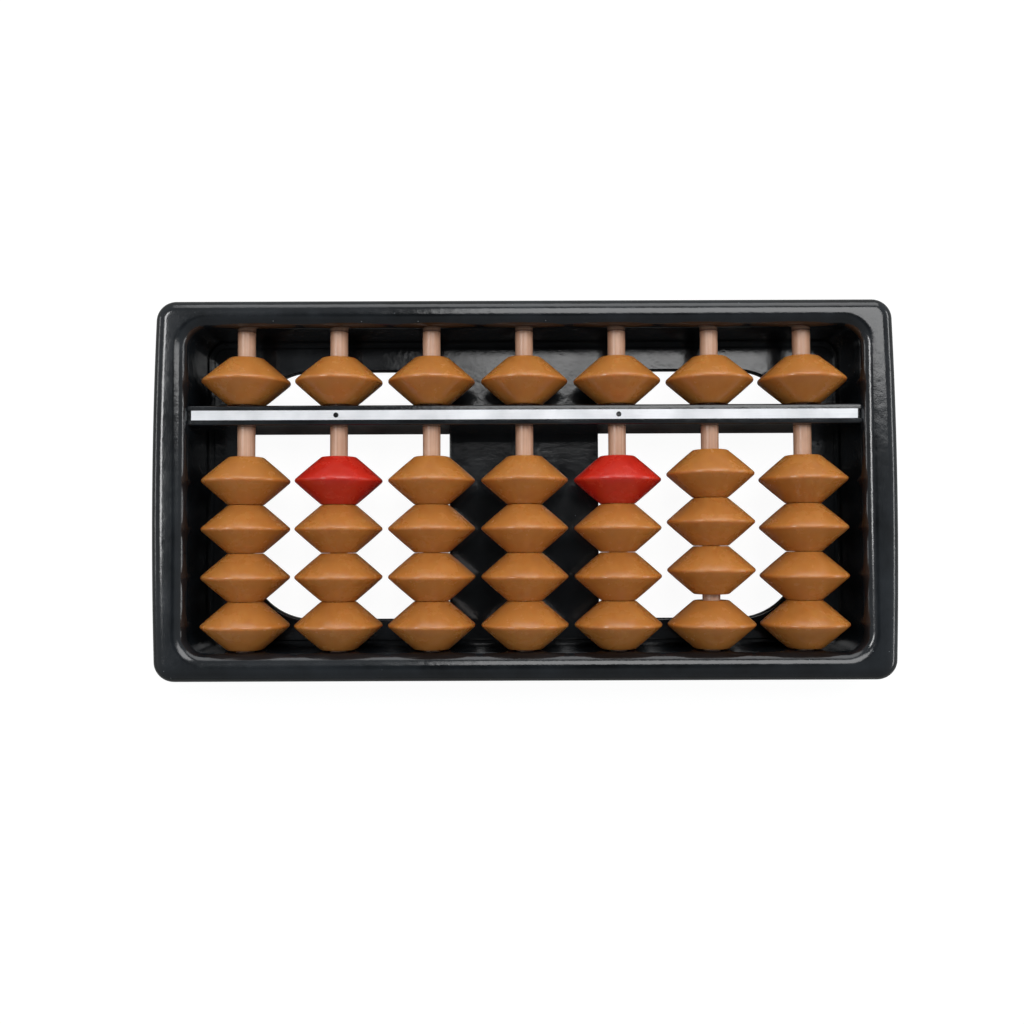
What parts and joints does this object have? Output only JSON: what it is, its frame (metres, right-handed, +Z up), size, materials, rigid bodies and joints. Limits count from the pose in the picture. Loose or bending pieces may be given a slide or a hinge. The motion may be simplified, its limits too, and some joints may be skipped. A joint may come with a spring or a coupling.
{
  "type": "abacus",
  "caption": "Pocket soroban abacus in a black moulded tray, with sliding bicone beads on round rods, split by a beam with an inlaid white strip.",
  "frame": {"origin": "under the middle of the tray, on the surface that it lies on", "axes": "+X across the columns to the right, +Y along the rods towards the heaven deck, +Z up out of the tray"},
  "size_m": [0.1204, 0.0616, 0.0163],
  "materials": {
    "black_abs": "glossy moulded ABS",
    "white_strip": "satin white strip",
    "dot_black": "glossy",
    "rod_plastic": "satin drawn plastic rod",
    "caramel_bead": "satin moulded plastic",
    "red_bead": "satin moulded plastic"
  },
  "bodies": {
    "tray": {"front_frame": "black_abs", "back_cover": "black_abs", "beam": "black_abs", "beam_strip": "white_strip", "unit_dots": "dot_black", "rod_1": "rod_plastic", "rod_2": "rod_plastic", "rod_3": "rod_plastic", "rod_4": "rod_plastic", "rod_5": "rod_plastic", "rod_6": "rod_plastic", "rod_7": "rod_plastic"},
    "heaven_bead_1": {"heaven_bead_1": "caramel_bead"},
    "heaven_bead_2": {"heaven_bead_2": "caramel_bead"},
    "heaven_bead_3": {"heaven_bead_3": "caramel_bead"},
    "heaven_bead_4": {"heaven_bead_4": "caramel_bead"},
    "heaven_bead_5": {"heaven_bead_5": "caramel_bead"},
    "heaven_bead_6": {"heaven_bead_6": "caramel_bead"},
    "heaven_bead_7": {"heaven_bead_7": "caramel_bead"},
    "earth_bead_1_1": {"earth_bead_1_1": "caramel_bead"},
    "earth_bead_1_2": {"earth_bead_1_2": "caramel_bead"},
    "earth_bead_1_3": {"earth_bead_1_3": "caramel_bead"},
    "earth_bead_1_4": {"earth_bead_1_4": "caramel_bead"},
    "earth_bead_2_1": {"earth_bead_2_1": "caramel_bead"},
    "earth_bead_2_2": {"earth_bead_2_2": "caramel_bead"},
    "earth_bead_2_3": {"earth_bead_2_3": "caramel_bead"},
    "earth_bead_2_4": {"earth_bead_2_4": "red_bead"},
    "earth_bead_3_1": {"earth_bead_3_1": "caramel_bead"},
    "earth_bead_3_2": {"earth_bead_3_2": "caramel_bead"},
    "earth_bead_3_3": {"earth_bead_3_3": "caramel_bead"},
    "earth_bead_3_4": {"earth_bead_3_4": "caramel_bead"},
    "earth_bead_4_1": {"earth_bead_4_1": "caramel_bead"},
    "earth_bead_4_2": {"earth_bead_4_2": "caramel_bead"},
    "earth_bead_4_3": {"earth_bead_4_3": "caramel_bead"},
    "earth_bead_4_4": {"earth_bead_4_4": "caramel_bead"},
    "earth_bead_5_1": {"earth_bead_5_1": "caramel_bead"},
    "earth_bead_5_2": {"earth_bead_5_2": "caramel_bead"},
    "earth_bead_5_3": {"earth_bead_5_3": "caramel_bead"},
    "earth_bead_5_4": {"earth_bead_5_4": "red_bead"},
    "earth_bead_6_1": {"earth_bead_6_1": "caramel_bead"},
    "earth_bead_6_2": {"earth_bead_6_2": "caramel_bead"},
    "earth_bead_6_3": {"earth_bead_6_3": "caramel_bead"},
    "earth_bead_6_4": {"earth_bead_6_4": "caramel_bead"},
    "earth_bead_7_1": {"earth_bead_7_1": "caramel_bead"},
    "earth_bead_7_2": {"earth_bead_7_2": "caramel_bead"},
    "earth_bead_7_3": {"earth_bead_7_3": "caramel_bead"},
    "earth_bead_7_4": {"earth_bead_7_4": "caramel_bead"}
  },
  "joints": [
    {"name": "heaven_1_slide", "type": "slide", "parent": "tray", "child": "heaven_bead_1", "axis": [0, 1, 0], "range_m": [0, 0.00406]},
    {"name": "heaven_2_slide", "type": "slide", "parent": "tray", "child": "heaven_bead_2", "axis": [0, 1, 0], "range_m": [0, 0.00406]},
    {"name": "heaven_3_slide", "type": "slide", "parent": "tray", "child": "heaven_bead_3", "axis": [0, 1, 0], "range_m": [0, 0.00406]},
    {"name": "heaven_4_slide", "type": "slide", "parent": "tray", "child": "heaven_bead_4", "axis": [0, 1, 0], "range_m": [0, 0.00406]},
    {"name": "heaven_5_slide", "type": "slide", "parent": "tray", "child": "heaven_bead_5", "axis": [0, 1, 0], "range_m": [0, 0.00406]},
    {"name": "heaven_6_slide", "type": "slide", "parent": "tray", "child": "heaven_bead_6", "axis": [0, 1, 0], "range_m": [0, 0.00406]},
    {"name": "heaven_7_slide", "type": "slide", "parent": "tray", "child": "heaven_bead_7", "axis": [0, 1, 0], "range_m": [0, 0.00406]},
    {"name": "earth_1_1_slide", "type": "slide", "parent": "tray", "child": "earth_bead_1_1", "axis": [0, 1, 0], "range_m": [0, 0.00472]},
    {"name": "earth_1_2_slide", "type": "slide", "parent": "tray", "child": "earth_bead_1_2", "axis": [0, 1, 0], "range_m": [0, 0.00472]},
    {"name": "earth_1_3_slide", "type": "slide", "parent": "tray", "child": "earth_bead_1_3", "axis": [0, 1, 0], "range_m": [0, 0.00472]},
    {"name": "earth_1_4_slide", "type": "slide", "parent": "earth_bead_1_3", "child": "earth_bead_1_4", "axis": [0, -1, 0], "range_m": [-0.00472, 0]},
    {"name": "earth_2_1_slide", "type": "slide", "parent": "tray", "child": "earth_bead_2_1", "axis": [0, 1, 0], "range_m": [0, 0.00472]},
    {"name": "earth_2_2_slide", "type": "slide", "parent": "tray", "child": "earth_bead_2_2", "axis": [0, 1, 0], "range_m": [0, 0.00472]},
    {"name": "earth_2_3_slide", "type": "slide", "parent": "earth_bead_2_2", "child": "earth_bead_2_3", "axis": [0, -1, 0], "range_m": [-0.00472, 0]},
    {"name": "earth_2_4_slide", "type": "slide", "parent": "earth_bead_2_2", "child": "earth_bead_2_4", "axis": [0, -1, 0], "range_m": [-0.00472, 0]},
    {"name": "earth_3_1_slide", "type": "slide", "parent": "tray", "child": "earth_bead_3_1", "axis": [0, 1, 0], "range_m": [0, 0.00472]},
    {"name": "earth_3_2_slide", "type": "slide", "parent": "earth_bead_3_1", "child": "earth_bead_3_2", "axis": [0, -1, 0], "range_m": [-0.00472, 0]},
    {"name": "earth_3_3_slide", "type": "slide", "parent": "earth_bead_3_1", "child": "earth_bead_3_3", "axis": [0, -1, 0], "range_m": [-0.00472, 0]},
    {"name": "earth_3_4_slide", "type": "slide", "parent": "earth_bead_3_1", "child": "earth_bead_3_4", "axis": [0, -1, 0], "range_m": [-0.00472, 0]},
    {"name": "earth_4_1_slide", "type": "slide", "parent": "tray", "child": "earth_bead_4_1", "axis": [0, 1, 0], "range_m": [0, 0.00472]},
    {"name": "earth_4_2_slide", "type": "slide", "parent": "tray", "child": "earth_bead_4_2", "axis": [0, 1, 0], "range_m": [0, 0.00472]},
    {"name": "earth_4_3_slide", "type": "slide", "parent": "tray", "child": "earth_bead_4_3", "axis": [0, 1, 0], "range_m": [0, 0.00472]},
    {"name": "earth_4_4_slide", "type": "slide", "parent": "earth_bead_4_3", "child": "earth_bead_4_4", "axis": [0, -1, 0], "range_m": [-0.00472, 0]},
    {"name": "earth_5_1_slide", "type": "slide", "parent": "tray", "child": "earth_bead_5_1", "axis": [0, 1, 0], "range_m": [0, 0.00472]},
    {"name": "earth_5_2_slide", "type": "slide", "parent": "tray", "child": "earth_bead_5_2", "axis": [0, 1, 0], "range_m": [0, 0.00472]},
    {"name": "earth_5_3_slide", "type": "slide", "parent": "earth_bead_5_2", "child": "earth_bead_5_3", "axis": [0, -1, 0], "range_m": [-0.00472, 0]},
    {"name": "earth_5_4_slide", "type": "slide", "parent": "earth_bead_5_2", "child": "earth_bead_5_4", "axis": [0, -1, 0], "range_m": [-0.00472, 0]},
    {"name": "earth_6_1_slide", "type": "slide", "parent": "tray", "child": "earth_bead_6_1", "axis": [0, 1, 0], "range_m": [0, 0.00377]},
    {"name": "earth_6_2_slide", "type": "slide", "parent": "earth_bead_6_1", "child": "earth_bead_6_2", "axis": [0, -1, 0], "range_m": [-0.00377, 0.00095]},
    {"name": "earth_6_3_slide", "type": "slide", "parent": "earth_bead_6_1", "child": "earth_bead_6_3", "axis": [0, -1, 0], "range_m": [-0.00377, 0.00095]},
    {"name": "earth_6_4_slide", "type": "slide", "parent": "earth_bead_6_1", "child": "earth_bead_6_4", "axis": [0, -1, 0], "range_m": [-0.00377, 0.00095]},
    {"name": "earth_7_1_slide", "type": "slide", "parent": "tray", "child": "earth_bead_7_1", "axis": [0, 1, 0], "range_m": [0, 0.00472]},
    {"name": "earth_7_2_slide", "type": "slide", "parent": "tray", "child": "earth_bead_7_2", "axis": [0, 1, 0], "range_m": [0, 0.00472]},
    {"name": "earth_7_3_slide", "type": "slide", "parent": "tray", "child": "earth_bead_7_3", "axis": [0, 1, 0], "range_m": [0, 0.00472]},
    {"name": "earth_7_4_slide", "type": "slide", "parent": "earth_bead_7_3", "child": "earth_bead_7_4", "axis": [0, -1, 0], "range_m": [-0.00472, 0]}
  ],
  "couplings": [
    {"joint": "earth_1_2_slide", "follows": "earth_1_1_slide", "ratio": 1},
    {"joint": "earth_1_3_slide", "follows": "earth_1_1_slide", "ratio": 1},
    {"joint": "earth_2_2_slide", "follows": "earth_2_1_slide", "ratio": 1},
    {"joint": "earth_2_4_slide", "follows": "earth_2_3_slide", "ratio": 1},
    {"joint": "earth_3_3_slide", "follows": "earth_3_2_slide", "ratio": 1},
    {"joint": "earth_3_4_slide", "follows": "earth_3_2_slide", "ratio": 1},
    {"joint": "earth_4_2_slide", "follows": "earth_4_1_slide", "ratio": 1},
    {"joint": "earth_4_3_slide", "follows": "earth_4_1_slide", "ratio": 1},
    {"joint": "earth_5_2_slide", "follows": "earth_5_1_slide", "ratio": 1},
    {"joint": "earth_5_4_slide", "follows": "earth_5_3_slide", "ratio": 1},
    {"joint": "earth_6_3_slide", "follows": "earth_6_2_slide", "ratio": 1},
    {"joint": "earth_6_4_slide", "follows": "earth_6_2_slide", "ratio": 1},
    {"joint": "earth_7_2_slide", "follows": "earth_7_1_slide", "ratio": 1},
    {"joint": "earth_7_3_slide", "follows": "earth_7_1_slide", "ratio": 1}
  ]
}
